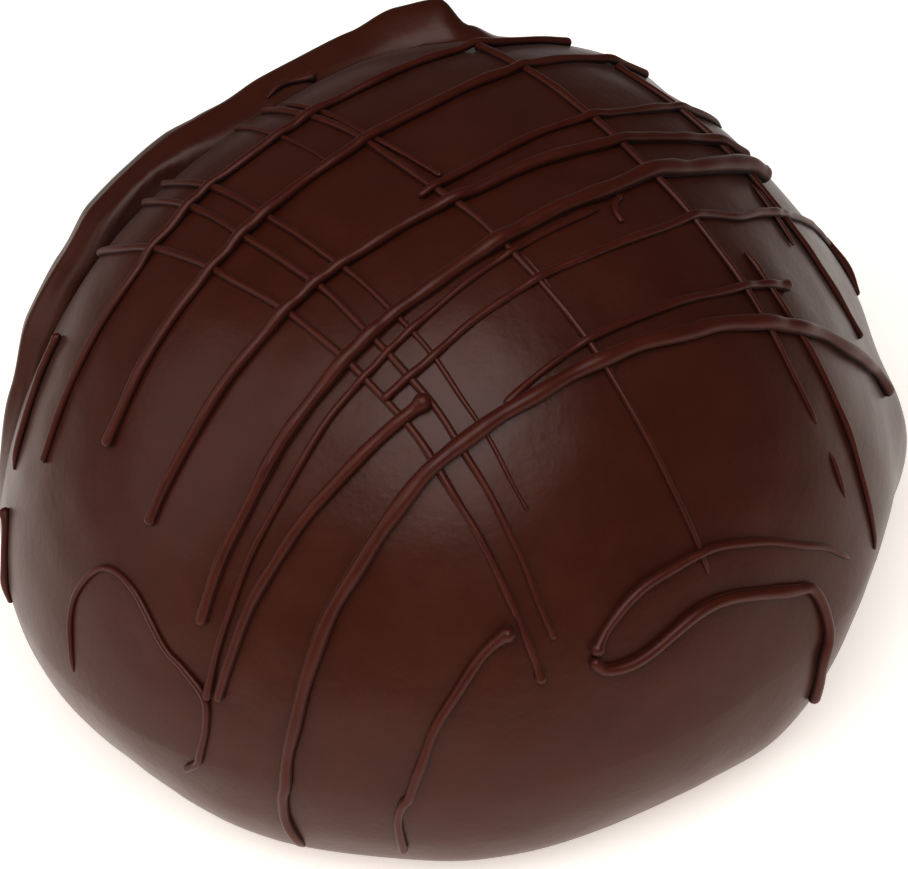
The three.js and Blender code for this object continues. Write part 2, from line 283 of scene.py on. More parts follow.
@dataclass(frozen=True)
class Lump:
    """A swelling of the coat, or a flat place if its size is negative.

    Attributes:
        azimuth: Where it is round the turn, in degrees.
        width: Its half width in degrees.
        height: How high its middle is.
        reach: Its half height.
        size: How far its middle stands out.
    """

    azimuth: float
    width: float
    height: float
    reach: float
    size: float


@dataclass(frozen=True)
class CoatForm:
    """The form of the dipped coat.

    Over a share s of the plan radius the height is
    rim + (height - rim) * (1 - s ** shoulder) ** (1 / crown), and what stands out from that
    plain dome is laid on along its normal. The roll has a wall, curl, rib and waver that are
    too fine for the faceted solid.
    """

    # the plain dome
    plan_radius: float = 17.52
    height: float = 21.5
    rim: float = 5.8
    tuck: float = 3.5
    shoulder: float = 2.59
    crown: float = 1.46
    lobes: tuple[Lobe, ...] = (
        Lobe(2, 0.63, 48), Lobe(3, 0.54, 64), Lobe(4, 0.16, 68), Lobe(5, 0.07, 41),
        Lobe(6, 0.13, 38),
    )
    lumps: tuple[Lump, ...] = (
        Lump(194, 12, 3, 3, 0.07), Lump(216, 12, 2, 3, -0.25), Lump(240, 12, 1, 3, 0.15),
        Lump(264, 12, 1, 3, 0.16), Lump(288, 12, 1, 3, -0.14), Lump(310, 7, 1, 3, 0.24),
        Lump(336, 12, 2, 3, -1.13), Lump(2, 9, 4, 3, 0.91), Lump(16, 8, 8, 3, 0.31),
        Lump(28, 7, 12, 3, -0.33), Lump(40, 7, 14, 3, -0.99),
    )
    # the arch of the wave's crease
    wave_top: float = 19.3
    wave_middle: float = 100
    wave_half_span: float = 80
    wave_arch: float = 6.0
    wave_sharpness: float = 0.35
    # the lip over the crease, and the roll where the crease is deep
    lip_rise: float = 0.9
    roll_rise: float = 2.0
    lip_fall: float = 7.5
    roll_fall: float = 1.3
    roll_share: float = 0.35
    lip_softness: float = 1.3
    roll_softness: float = 0.5
    # the groove along the crease, and the shade painted in it
    groove_depth: float = 0.8
    groove_place: float = 0.35
    groove_width: float = 0.4
    wall_foot: float = 0.6
    wall_shade: float = 0.42
    dome_shade: float = 0.5
    # the curl of the roll's wall, the rib on its bank, the waver of its foot
    curl: float = 0.4
    curl_place: float = 0.25
    curl_width: float = 0.2
    rib: float = 0.08
    rib_place: float = 0.85
    rib_width: float = 0.2
    waver: float = 0.1
    waver_mm: float = 2.6
    waver_seed: int = 7
    # where relief ends towards the base, and limits for what is draped
    ground_fade: float = 1.5
    crown_share: float = 1e-4
    steepest_bend: float = 85.0
    # azimuths along the wave, and the lip and the crease's share at each
    lip_places: tuple[float, ...] = (
        62, 70, 76, 82, 90, 100, 114, 126, 134, 142, 150, 158, 165, 170, 174, 177, 180,
    )
    lip_sizes: tuple[float, ...] = (
        0, 0.1, 0.56, 1.63, 1.57, 1.17, 1.03, 1.09, 1.05, 1.15, 1.3, 1.27, 1.29, 1.0, 1.0, 0.5,
        0.1,
    )
    crease_sizes: tuple[float, ...] = (
        0, 0, 0, 0.1, 0.2, 0.2, 0.2, 0.2, 0.3, 0.5, 0.8, 1, 1, 0.8, 0.5, 0.2, 0,
    )

    def radius(self, azimuth: Array) -> Array:
        """Plan radius at each azimuth in degrees: the mean radius and the lobes' cosines."""
        waves = (
            lobe.size * np.cos(np.radians(lobe.count * (azimuth - lobe.peak)))
            for lobe in self.lobes
        )
        return self.plan_radius + sum(waves)

    def dome_height(self, share: Array) -> Array:
        """Height over a share of the plan radius."""
        fall = np.clip(1 - share**self.shoulder, 0, 1)
        return self.rim + (self.height - self.rim) * fall ** (1 / self.crown)

    def dome_share(self, height: Array) -> Array:
        """Share of the plan radius at a height: the profile solved back."""
        rise = np.clip((height - self.rim) / (self.height - self.rim), 0, 1)
        return (1 - rise**self.crown) ** (1 / self.shoulder)

    def on_dome(self, share: Array, azimuth: Array) -> Array:
        """Points of the plain dome.

        Args:
            share: Shares of the plan radius.
            azimuth: Azimuths in degrees.

        Returns:
            The points, one a row.
        """
        angle = np.radians(azimuth)
        radius = self.radius(azimuth) * share
        height = self.dome_height(share)
        return np.stack([radius * np.cos(angle), radius * np.sin(angle), height], axis=1)

    def dome_normal(self, share: Array, azimuth: Array) -> Array:
        """Way out of the plain dome: the gradient of its superellipse.

        Args:
            share: Shares of the plan radius.
            azimuth: Azimuths in degrees.

        Returns:
            Vectors of length one, one a row.
        """
        angle = np.radians(azimuth)
        span = self.height - self.rim
        rise = np.clip((self.dome_height(share) - self.rim) / span, 0, 1)
        outward = self.shoulder * share ** (self.shoulder - 1) / self.radius(azimuth)
        upward = self.crown * rise ** (self.crown - 1) / span
        return unit(np.stack([np.cos(angle) * outward, np.sin(angle) * outward, upward], axis=-1))

    def crease_height(self, azimuth: Array) -> Array:
        """Height of the wave's crease: an arch that comes down to the base at both ends."""
        reach = np.abs(turn_between(azimuth, self.wave_middle)) / self.wave_half_span
        return self.wave_top * (1 - np.minimum(reach, 1)**self.wave_arch)**self.wave_sharpness

    def crease_line(self, count: int = 260) -> tuple[Array, Array, Array]:
        """The crease as points on the plain dome, closer together where it falls to the base.

        Args:
            count: How many points.

        Returns:
            The points, the lip that rises at each and the share of the crease's depth there.
        """
        first = math.asin((self.lip_places[0] - self.wave_middle) / self.wave_half_span)
        reach = np.sin(np.linspace(first, math.pi / 2, count))
        azimuth = self.wave_middle + self.wave_half_span * reach
        height = self.crease_height(azimuth)
        bend = np.arcsin(np.clip(1 - height / self.rim, 0, 1))
        radius = self.radius(azimuth) * self.dome_share(height) - self.tuck * (1 - np.cos(bend))
        angle = np.radians(azimuth)
        points = np.stack([radius * np.cos(angle), radius * np.sin(angle), height], axis=1)
        lips = eased(azimuth, self.lip_places, self.lip_sizes)
        creases = eased(azimuth, self.lip_places, self.crease_sizes)
        return points, lips, creases

    def from_crease(self, points: Array) -> tuple[Array, Array, Array, Array]:
        """How far each point is from the crease line.

        Args:
            points: Places on the plain dome.

        Returns:
            The distance to the nearest stretch of the line, the lip and the crease's share
            there, and the way to it.
        """
        line, lips, creases = self.crease_line()
        start, run = line[:-1], np.diff(line, axis=0)
        length = (run**2).sum(axis=1)
        nearest = np.empty(len(points))
        lip = np.empty(len(points))
        crease = np.empty(len(points))
        way = np.empty((len(points), 3))
        for part in np.array_split(np.arange(len(points)), max(1, len(points) // POINTS_A_BATCH)):
            offset = points[part, None, :] - start[None]
            share = np.clip((offset * run[None]).sum(axis=2) / length, 0, 1)
            to_line = share[..., None] * run[None] - offset
            gap = np.linalg.norm(to_line, axis=2)
            best = gap.argmin(axis=1)
            picked = share[np.arange(len(part)), best]
            nearest[part] = gap[np.arange(len(part)), best]
            way[part] = unit(to_line[np.arange(len(part)), best])
            lip[part] = lips[best] + (lips[best + 1] - lips[best]) * picked
            crease[part] = creases[best] + (creases[best + 1] - creases[best]) * picked
        return nearest, lip, crease, way

    def wall_width(self, crease: Array) -> Array:
        """Distance from the wave's foot to its crest: wider where the crease is deep."""
        return self.lip_rise + (self.roll_rise - self.lip_rise) * crease

    def relief(self, points: Array, azimuth: Array) -> tuple[Array, Array]:
        """How the coat leaves the plain dome: the wave's lip, its curl and the foot's lumps.

        The lip is a quarter round where the crease is deep and a soft fillet where it is not,
        and beyond its crest it falls in a cosine. A groove is cut along the crease by a bell
        curve, the wall of the roll curls over the groove by another, and by a third a low rib
        runs along its bank. The wall's foot wavers along the crease.

        Args:
            points: Places on the plain dome.
            azimuth: Their azimuths in degrees.

        Returns:
            The distance along the dome's normal, and the curl as a vector.
        """
        away, lip, crease, way = self.from_crease(points)
        is_outer = points[:, 2] < self.crease_height(azimuth)
        waver = self.waver * ripples(points, self.waver_mm, self.waver_seed)
        climbed = away - (self.wall_foot + waver) * crease
        width = self.wall_width(crease)
        rise = np.clip(climbed / width, 0, 1)
        softness = self.lip_softness + (self.roll_softness - self.lip_softness) * crease
        beyond = np.maximum(climbed - width, 0)
        roll = self.roll_share * bell(beyond / self.roll_fall)
        bank = 0.5 + 0.5 * np.cos(np.pi * np.clip(beyond / self.lip_fall, 0, 1))
        fall = roll + (1 - self.roll_share) * bank
        rib = self.rib * np.sqrt(crease) * bell((climbed - self.rib_place) / self.rib_width)
        outer = lip * (1 - (1 - rise) ** 2) ** softness * fall + rib
        standing = np.where(is_outer, outer, 0)
        from_floor = np.where(is_outer, away - self.groove_place, away + self.groove_place)
        standing -= self.groove_depth * crease * bell(from_floor / self.groove_width)
        from_bulge = (climbed - self.curl_place) / self.curl_width
        curl = np.where(is_outer, self.curl * crease * bell(from_bulge), 0)
        for lump in self.lumps:
            aside = turn_between(azimuth, lump.azimuth) / lump.width
            above = (points[:, 2] - lump.height) / lump.reach
            standing += lump.size * np.exp(-(aside**2) - above**2)
        return standing, way * curl[:, None]

    def painted_groove_shade(self, share: Array, azimuth: Array) -> Array:
        """Shade painted into the colour in and beside the groove, at places above the rim, from 0
        to 1.

        Args:
            share: Shares of the plan radius.
            azimuth: Azimuths in degrees.

        Returns:
            One share a place: full on the groove's floor, with half a bell curve of the height
            share up the wall of the roll and one of the distance up the dome.
        """
        points = self.on_dome(share, azimuth)
        away, _, crease, _ = self.from_crease(points)
        is_outer = points[:, 2] < self.crease_height(azimuth)
        rise = np.clip((away - self.wall_foot * crease) / self.wall_width(crease), 0, 1)
        up_wall = np.sqrt(1 - (1 - rise) ** 2) / self.wall_shade
        from_floor = np.where(is_outer, up_wall, away / self.dome_shade)
        return np.sqrt(crease) * bell(from_floor)

    def coat(self, share: Array, azimuth: Array) -> tuple[Array, Array]:
        """Points of the coat above its rim.

        Args:
            share: Shares of the plan radius.
            azimuth: Azimuths in degrees.

        Returns:
            The points and the plain dome's normals there.
        """
        points = self.on_dome(share, azimuth)
        normals = self.dome_normal(share, azimuth)
        standing, curl = self.relief(points, azimuth)
        return points + normals * standing[:, None] + curl, normals

    def under_rim(self, bend: Array, azimuth: Array) -> tuple[Array, Array]:
        """Points under the widest: a quarter ellipse that draws in down to the base.

        Args:
            bend: From 0 at the widest to 90 degrees on the base.
            azimuth: Azimuths in degrees.

        Returns:
            The points and the normals there.
        """
        angle, turn = np.radians(azimuth), np.radians(bend)
        outward = np.stack([np.cos(angle), np.sin(angle), np.zeros_like(angle)], axis=1)
        radius = self.radius(azimuth)
        points = outward * (radius - self.tuck * (1 - np.cos(turn)))[:, None]
        points[:, 2] = self.rim * (1 - np.sin(turn))
        normals = outward * (np.cos(turn) / self.tuck)[:, None]
        normals[:, 2] = -np.sin(turn) / self.rim
        normals = unit(normals)
        ground = np.sin(0.5 * np.pi * np.clip(points[:, 2] / self.ground_fade, 0, 1))
        standing, curl = self.relief(points, azimuth)
        return points + (normals * standing[:, None] + curl) * ground[:, None], normals

    def drape(self, places: Array) -> tuple[Array, Array]:
        """Points of the coat over places in plan; past the rim they go down round it.

        Args:
            places: Plan places in millimetres, x and y.

        Returns:
            The points and the normals there.
        """
        azimuth = np.degrees(np.arctan2(places[:, 1], places[:, 0]))
        radius = self.radius(azimuth)
        share = np.hypot(places[:, 0], places[:, 1]) / radius
        points, normals = self.coat(np.clip(share, self.crown_share, 1), azimuth)
        bend = np.degrees(np.maximum(share - 1, 0) * radius / self.rim)
        bend = np.minimum(bend, self.steepest_bend)
        low_points, low_normals = self.under_rim(bend, azimuth)
        is_past = (share > 1)[:, None]
        return np.where(is_past, low_points, points), np.where(is_past, low_normals, normals)


# --- Finishes ---


@dataclass(frozen=True)
class TemperedChocolate:
    """Dark couverture, tempered and set: a satin skin of cocoa butter over a brown body.

    Cocoa butter's index is near 1.46. The skin is fine-grained, so its gloss is broad and soft,
    and mottled a little where it set at different speeds. Shade is painted into its colour and
    its gloss is dulled where the mesh's painted shade attribute is high.
    """

    name: str
    body: str
    bloom: str
    roughness: float
    roughness_swing: float
    mottle_mm: float
    grain_mm: float
    grain_depth_mm: float
    ior: float = 1.46
    sheen: float = 0.14
    sheen_roughness: float = 0.35
    # painted shade darkens the colour by up to this share where the attribute is full, and makes
    # the skin rougher there
    painted_shade_strength: float = 0.8
    painted_shade_dulling: float = 0.4
    tint_span: tuple[float, float] = (0.3, 0.75)
    gloss_span: tuple[float, float] = (0.3, 0.7)

    def build(self) -> bpy.types.Material:
        """Makes the material.

        Returns:
            The material, whose patterns are on Object coordinates.
        """
        material = bpy.data.materials.new(self.name)
        material.use_nodes = True
        tree = material.node_tree
        tree.nodes.clear()
        place = add_node(tree, "ShaderNodeTexCoord").outputs["Object"]
        mottle = add_node(
            tree, "ShaderNodeTexNoise",
            values={"Scale": 1 / (self.mottle_mm * MM), "Detail": 4.0, "Roughness": 0.6},
            links={"Vector": place},
        )
        # the shade painted in the groove and under the strands, read from the mesh
        painted_shade = add_node(tree, "ShaderNodeAttribute", {"attribute_name": PAINTED_SHADE})
        tint = add_node(tree, "ShaderNodeValToRGB", links={"Fac": mottle.outputs["Fac"]})
        stops = zip(tint.color_ramp.elements, self.tint_span, (self.body, self.bloom))
        for stop, position, code in stops:
            stop.position = position
            stop.color = linear_colour(code)
        # painted shade: the mottled colour is darkened where that attribute is high
        shade = add_node(
            tree, "ShaderNodeMapRange",
            values={"To Min": 1.0, "To Max": 1.0 - self.painted_shade_strength},
            links={"Value": painted_shade.outputs["Fac"]},
        )
        colour = add_node(
            tree, "ShaderNodeVectorMath", {"operation": "SCALE"},
            links={"Vector": tint.outputs["Color"], "Scale": shade.outputs["Result"]},
        )
        gloss = add_node(
            tree, "ShaderNodeMapRange",
            values={
                "From Min": self.gloss_span[0], "From Max": self.gloss_span[1],
                "To Min": self.roughness - self.roughness_swing,
                "To Max": self.roughness + self.roughness_swing,
            },
            links={"Value": mottle.outputs["Fac"]},
        )
        dulled = add_node(
            tree, "ShaderNodeMath", {"operation": "MULTIPLY_ADD"}, {1: self.painted_shade_dulling},
            {0: painted_shade.outputs["Fac"], 2: gloss.outputs["Result"]},
        )
        grain = add_node(
            tree, "ShaderNodeTexNoise",
            values={"Scale": 1 / (self.grain_mm * MM), "Detail": 3.0, "Roughness": 0.55},
            links={"Vector": place},
        )
        bump = add_node(
            tree, "ShaderNodeBump",
            values={"Strength": 1.0, "Distance": self.grain_depth_mm * MM},
            links={"Height": grain.outputs["Fac"]},
        )
        shader = add_node(
            tree, "ShaderNodeBsdfPrincipled",
            values={
                "IOR": self.ior, "Sheen Weight": self.sheen,
                "Sheen Roughness": self.sheen_roughness,
            },
            links={
                "Base Color": colour.outputs["Vector"],
                "Roughness": dulled.outputs["Value"],
                "Normal": bump.outputs["Normal"],
            },
        )
        add_node(tree, "ShaderNodeOutputMaterial", links={"Surface": shader.outputs["BSDF"]})
        return material


DIPPED_COAT = TemperedChocolate(
    name="dark_couverture_dipped",
    body="#50281b", bloom="#582e20",
    roughness=0.34, roughness_swing=0.03,
    mottle_mm=2.4, grain_mm=0.4, grain_depth_mm=0.012,
)
DRIZZLED_STRAND = TemperedChocolate(
    name="dark_couverture_drizzled",
    body="#54251a", bloom="#5e2c1e",
    roughness=0.40, roughness_swing=0.04,
    mottle_mm=1.6, grain_mm=0.35, grain_depth_mm=0.006,
)


@dataclass(frozen=True)
class MattPaper:
    """White matt paper under the truffle, without gloss, that glows in a painted pool of light
    fading outwards.
    """

    name: str = "glowing_white_matt_paper"
    colour: str = "#f6f2ec"
    # the colour and strength of the paper's painted glow, and where its pool fades out
    light: str = "#fff9f3"
    roughness: float = 0.9
    glow: float = 0.4
    pool_mm: float = 36.0
    fade_mm: float = 90.0

    def build(self) -> bpy.types.Material:
        """Makes the material.

        Returns:
            The material, with its painted glow in a pool round the origin.
        """
        material = bpy.data.materials.new(self.name)
        material.use_nodes = True
        shader = material.node_tree.nodes["Principled BSDF"]
        shader.inputs["Base Color"].default_value = linear_colour(self.colour)
        shader.inputs["Roughness"].default_value = self.roughness
        shader.inputs["Emission Color"].default_value = linear_colour(self.light)
        tree = material.node_tree
        place = add_node(tree, "ShaderNodeTexCoord").outputs["Object"]
        away = add_node(
            tree, "ShaderNodeVectorMath", {"operation": "LENGTH"}, links={"Vector": place}
        )
        # painted pool of light: the paper glows though it is no lamp, fading outwards
        pool = add_node(
            tree, "ShaderNodeMapRange", {"interpolation_type": "SMOOTHSTEP"},
            {"From Min": self.pool_mm * MM, "From Max": self.fade_mm * MM,
             "To Min": self.glow, "To Max": 0.0},
            {"Value": away.outputs["Value"]},
        )
        tree.links.new(pool.outputs["Result"], shader.inputs["Emission Strength"])
        return material


# --- The coat ---


@dataclass
class Coat:
    """The dipped coat as one closed skin.

    Its columns are crowded towards roll_place, its rows towards the crease, or split_height
    where the crease is lower. Each of ripple_sizes is a wavelength and a height.
    """

    form: CoatForm
    columns: int = 500
    column_crowding: float = 0.75
    roll_place: float = 165.0
    crown_rows: int = 76
    flank_rows: int = 64
    rim_rows: int = 30
    base_rows: int = 4
    split_height: float = 12.0
    crowding: float = 1.7
    ripple_sizes: tuple[tuple[float, float], ...] = ((7.0, 0.035), (2.2, 0.010))

    def around(self) -> Array:
        """Crowds the columns towards the roll: u - k * sin(u - place).

        Returns:
            Azimuth of each column in degrees.
        """
        turn = np.arange(self.columns) * 2 * np.pi / self.columns
        from_roll = turn - math.radians(self.roll_place)
        return np.degrees(turn - self.column_crowding * np.sin(from_roll))

    def rows(self, azimuth: Array) -> tuple[Array, Array]:
        """Where every row above the rim lies, crowded towards the crease.

        The rows are even in the profile's angle a, with share = sin(a) ** (2 / shoulder), and
        pass through the crease, so that its edge is a line of the net.

        Args:
            azimuth: One azimuth a column.

        Returns:
            Shares of the plan radius and azimuths, row after row.
        """
        split = np.maximum(self.form.crease_height(azimuth), self.split_height)
        at_split = np.arcsin(self.form.dome_share(split) ** (self.form.shoulder / 2))
        down = np.linspace(0, 1, self.crown_rows + 1)[1:]
        crown = at_split[None] * (1 - (1 - down[:, None]) ** self.crowding)
        down = np.linspace(0, 1, self.flank_rows + 1)[1:]
        flank = at_split[None] + (np.pi / 2 - at_split[None]) * down[:, None] ** self.crowding
        angles = np.vstack([crown, flank])
        share = np.sin(angles) ** (2 / self.form.shoulder)
        return share.ravel(), np.broadcast_to(azimuth, share.shape).ravel()

    def uneven(self, points: Array, normals: Array) -> Array:
        """Lays low ripples on the skin, none where it rests.

        Args:
            points: Points of the skin in millimetres.
            normals: The ways out of it.

        Returns:
            The points with the ripples.
        """
        lifted = points
        for seed, (wavelength, size) in enumerate(self.ripple_sizes):
            fade = np.clip(points[:, 2] / self.form.ground_fade, 0, 1)
            height = size * ripples(points, wavelength, seed) * fade
            lifted = lifted + normals * height[:, None]
        return lifted

    def build(self) -> bpy.types.Object:
        """Makes the skin: a crown point, rows down to the rim, round it and in to the middle.

        Returns:
            The coat's piece.
        """
        azimuth = self.around()
        share, around = self.rows(azimuth)
        points, normals = self.form.coat(share, around)
        bend = np.linspace(0, 90, self.rim_rows + 1)[1:]
        low_points, low_normals = self.form.under_rim(
            np.repeat(bend, self.columns), np.tile(azimuth, self.rim_rows)
        )
        foot = low_points[-self.columns:]
        inward = np.linspace(1, 0, self.base_rows + 1)[1:-1]
        base = (inward[:, None, None] * foot[None]).reshape(-1, 3)
        base_normals = np.tile([0.0, 0.0, -1.0], (len(base), 1))
        crown = np.array([[0, 0, self.form.height]])
        rows = np.vstack([points, low_points, base])
        ways = np.vstack([normals, low_normals, base_normals])
        vertices = np.vstack([self.uneven(rows, ways), crown, [[0, 0, 0]]])
        faces = closed_net(len(rows) // self.columns, self.columns)
        # shade painted in and beside the groove, none on the rim and base
        painted_shade = np.zeros(len(vertices))
        painted_shade[:len(points)] = self.form.painted_groove_shade(share, around)
        piece = make_piece("coat", vertices, faces, painted_shade)
        piece.data.materials.append(DIPPED_COAT.build())
        return piece


# --- The drizzle ---


@dataclass(frozen=True)
class Strand:
    """A strand that runs nearly straight in plan.

    Attributes:
        start: Plan place where it begins.
        stop: Plan place where it ends.
        widths: Its width at the start, the middle and the end.
        bow: How far its middle lies to the left of the straight line.
        sway: How far it swings left and then right of that line.
        first: How it begins.
        last: How it ends.
    """

    start: tuple[float, float]
    stop: tuple[float, float]
    widths: tuple[float, float, float]
    bow: float = 0.0
    sway: float = 0.0
    first: StrandEnd = StrandEnd.BLUNT
    last: StrandEnd = StrandEnd.BLUNT

    def places(self, spacing: float) -> Array:
        """Lays the strand in plan: a parabola for the bow and a sine for the sway.

        Args:
            spacing: About how far apart the places are.

        Returns:
            Plan places along the strand, one a row.
        """
        start, run = np.array(self.start), np.subtract(self.stop, self.start)
        length = np.linalg.norm(run)
        left = np.array([-run[1], run[0]]) / length
        share = np.linspace(0, 1, max(FEWEST_PLACES, int(length / spacing)))[:, None]
        aside = 4 * self.bow * share * (1 - share) + self.sway * np.sin(2 * np.pi * share)
        return start + run * share + left * aside


@dataclass(frozen=True)
class Hook:
    """A strand that turned back: the few plan places that its turns need, and its widths."""

    route: tuple[tuple[float, float], ...]
    widths: tuple[float, float, float]
    first: StrandEnd = StrandEnd.BLUNT
    last: StrandEnd = StrandEnd.BLUNT

    def places(self, spacing: float) -> Array:
        """Plan places along the hook."""
        return through_points(self.route, spacing)


@dataclass
class Drizzle:
    """A layer of strands that lie on the coat and over the strands laid before them.

    Attributes:
        form: The coat that they lie on.
        name: The piece's name.
        strands: The layer's strands.
        under: Routes and radii of the strands laid before.
        sides: Sides of a section.
        spacing: Distance between sections.
        plan_spacing: Distance between the plan places that are draped.
        lift: Height of a strand's middle over the coat, in radii.
        wobble: How far it wanders aside, over wobble_mm.
        unevenness: Share by which it swells, over swell_mm.
        track_mm: Distance between strands in the random field.
        end_reach: Reach of a bead or a thin end, in widths.
        bridge_stations: Sections over which it bridges a hollow.
        ride_share: Its rise over a lower strand, in that one's radii.
        ride_reach: Width of the rise in the sum of the radii, with ride_margin added.
        cap_rings: Rings in a rounded end.
        shade_level: Shade painted half way up its side.
        shade_fall: How fast the painted shade lessens upwards.
        routes: Middles and radii of the strands laid so far.
    """

    form: CoatForm
    name: str
    strands: Sequence[Strand | Hook]
    under: Sequence[Array] = ()
    sides: int = 14
    spacing: float = 0.22
    plan_spacing: float = 0.04
    lift: float = 0.6
    wobble: float = 0.05
    wobble_mm: float = 4.0
    wobble_seed: int = 50
    unevenness: float = 0.09
    swell_mm: float = 1.9
    swell_seed: int = 90
    track_mm: float = 31.7
    end_reach: float = 1.3
    bridge_stations: int = 9
    ride_share: float = 0.9
    ride_reach: float = 1.2
    ride_margin: float = 0.12
    cap_rings: int = 5
    shade_level: float = 0.5
    shade_fall: float = 1.4
    routes: list[Array] = field(default_factory=list)

    def route(self, strand: Strand | Hook, seed: int) -> tuple[Array, Array, Array]:
        """Where a strand lies.

        Its places in plan get a slow random wobble, are draped on the coat, bridge the crease
        as a taut strand does, and rise over the strands that were laid before.

        Args:
            strand: The strand to lay.
            seed: Seed of its wobble.

        Returns:
            Middle points, surface normals and radii along the strand.
        """
        places = strand.places(self.plan_spacing)
        draped = distances(self.form.drape(places)[0])
        along = np.linspace(0, draped[-1], max(FEWEST_PLACES, int(draped[-1] / self.spacing)))
        places = carried(places, draped, along)
        heading = unit(np.gradient(places, axis=0))
        left = np.stack([-heading[:, 1], heading[:, 0]], axis=1)
        aside = np.full_like(along, self.track_mm * seed)
        track = np.stack([along, aside, np.zeros_like(along)], axis=1)
        wander = self.wobble * ripples(track, self.wobble_mm, self.wobble_seed + seed)
        swell = self.unevenness * ripples(track, self.swell_mm, self.swell_seed + seed)
        radius = self.radii(strand, along, swell)
        points, normals = self.form.drape(places + left * wander[:, None])
        points = points + normals * (radius * self.lift)[:, None]
        points = points + normals * self.bridged(points, normals)[:, None]
        points = points + normals * self.ridden(points, radius)[:, None]
        return points, normals, radius

    def radii(self, strand: Strand | Hook, along: Array, swell: Array) -> Array:
        """Radii along a strand: a parabola through its three widths, and a bell at each end.

        Args:
            strand: The strand with its widths and ends.
            along: Distances from its start.
            swell: Share by which it is thicker at each of them.

        Returns:
            The radii in millimetres.
        """
        length = along[-1]
        share = along / length
        first, middle, last = strand.widths
        width = first * (1 - share) * (1 - 2 * share) + 4 * middle * share * (1 - share)
        width = width + last * share * (2 * share - 1)
        radius = 0.5 * width * (1 + swell)
        for away, end in ((along, strand.first), (length - along, strand.last)):
            radius = radius * (1 + end.value * bell(away / (self.end_reach * width)))
        return radius

    def bridged(self, points: Array, normals: Array) -> Array:
        """How far a strand is held up over hollows: to the run smoothed, where that is higher.

        Args:
            points: Middle points of the run.
            normals: Surface normals along it.

        Returns:
            Distances along the normals.
        """
        window = np.hanning(self.bridge_stations)
        window /= window.sum()
        past = self.bridge_stations // 2
        padded = np.pad(points, ((past, past), (0, 0)), mode="reflect", reflect_type="odd")
        smooth = np.stack([np.convolve(padded[:, k], window, "valid") for k in range(3)], axis=1)
        return np.maximum(((smooth - points) * normals).sum(axis=1), 0)

    def ridden(self, points: Array, radius: Array) -> Array:
        """How far a strand rises over those under it: a bell curve of the distance to them.

        Args:
            points: Middle points of the run.
            radius: Radii along it.

        Returns:
            Distances along the normals.
        """
        lift = np.zeros(len(points))
        for other in self.under:
            gap = np.linalg.norm(points[:, None] - other[None, :, :3], axis=2)
            best = gap.argmin(axis=1)
            over = other[best, 3]
            near = gap.min(axis=1) / (self.ride_reach * (over + radius) + self.ride_margin)
            lift = np.maximum(lift, self.ride_share * over * bell(near))
        return lift

    def sweep(
        self, points: Array, normals: Array, radius: Array, offset: int
    ) -> tuple[Array, list[list[int]], Array]:
        """Sweeps a round section along a run, closed at each end by a half round.

        The section at an angle a is middle + r * (cos a * side + sin a * up), with up square to
        the run. Towards an end, r shrinks as sqrt(1 - (1 - d / r) ** 2) at a distance d.

        Args:
            points: Middle points of the run.
            normals: Surface normals along it.
            radius: Radii along it.
            offset: Number of the first vertex.

        Returns:
            Vertices, faces and the shade painted at each vertex, darkest on the strand's lower
            side.
        """
        along = distances(points)
        length = along[-1]
        turn = np.linspace(0, np.pi / 2, self.cap_rings + 1)[1:]
        first = radius[0] * (1 - np.cos(turn))
        last = length - radius[-1] * (1 - np.cos(turn))[::-1]
        inner = np.arange(first[-1] + self.spacing, last[0] - 0.5 * self.spacing, self.spacing)
        stations = np.concatenate([first, inner, last])
        middle = carried(points, along, stations)
        size = np.interp(stations, along, radius)
        size[:len(turn)] = radius[0] * np.sin(turn)
        size[-len(turn):] = radius[-1] * np.sin(turn)[::-1]
        heading = unit(np.gradient(middle, axis=0))
        side = unit(np.cross(heading, carried(normals, along, stations)))
        up = np.cross(side, heading)
        angle = np.arange(self.sides) * 2 * np.pi / self.sides
        across, over = np.cos(angle)[None, :, None], np.sin(angle)[None, :, None]
        ring = across * side[:, None] + over * up[:, None]
        rings = middle[:, None] + ring * size[:, None, None]
        ends = carried(points, along, np.array([0.0, length]))
        vertices = np.vstack([rings.reshape(-1, 3), ends])
        vertices[:, 2] = np.maximum(vertices[:, 2], 0)
        # shade painted on the lower half of each section, lessening upwards; the end points get
        # the middle level
        under = np.clip(self.shade_level - self.shade_fall * np.sin(angle), 0, 1)
        painted_shade = np.concatenate([np.tile(under, len(stations)), 2 * [self.shade_level]])
        return vertices, closed_net(len(stations), self.sides, offset), painted_shade

    def build(self) -> bpy.types.Object:
        """Lays every strand and joins them into one piece.

        Returns:
            The layer's piece.
        """
        vertices, faces, painted_shades, offset = [], [], [], 0
        for seed, strand in enumerate(self.strands):
            points, normals, radius = self.route(strand, seed)
            self.routes.append(np.column_stack([points, radius]))
            part, part_faces, painted_shade = self.sweep(points, normals, radius, offset)
            vertices.append(part)
            painted_shades.append(painted_shade)
            faces.extend(part_faces)
            offset += len(part)
        piece = make_piece(
            self.name, np.vstack(vertices), faces, np.concatenate(painted_shades)
        )
        piece.data.materials.append(DRIZZLED_STRAND.build())
        return piece


BEAD, BLUNT, THIN = StrandEnd.BEAD, StrandEnd.BLUNT, StrandEnd.THIN

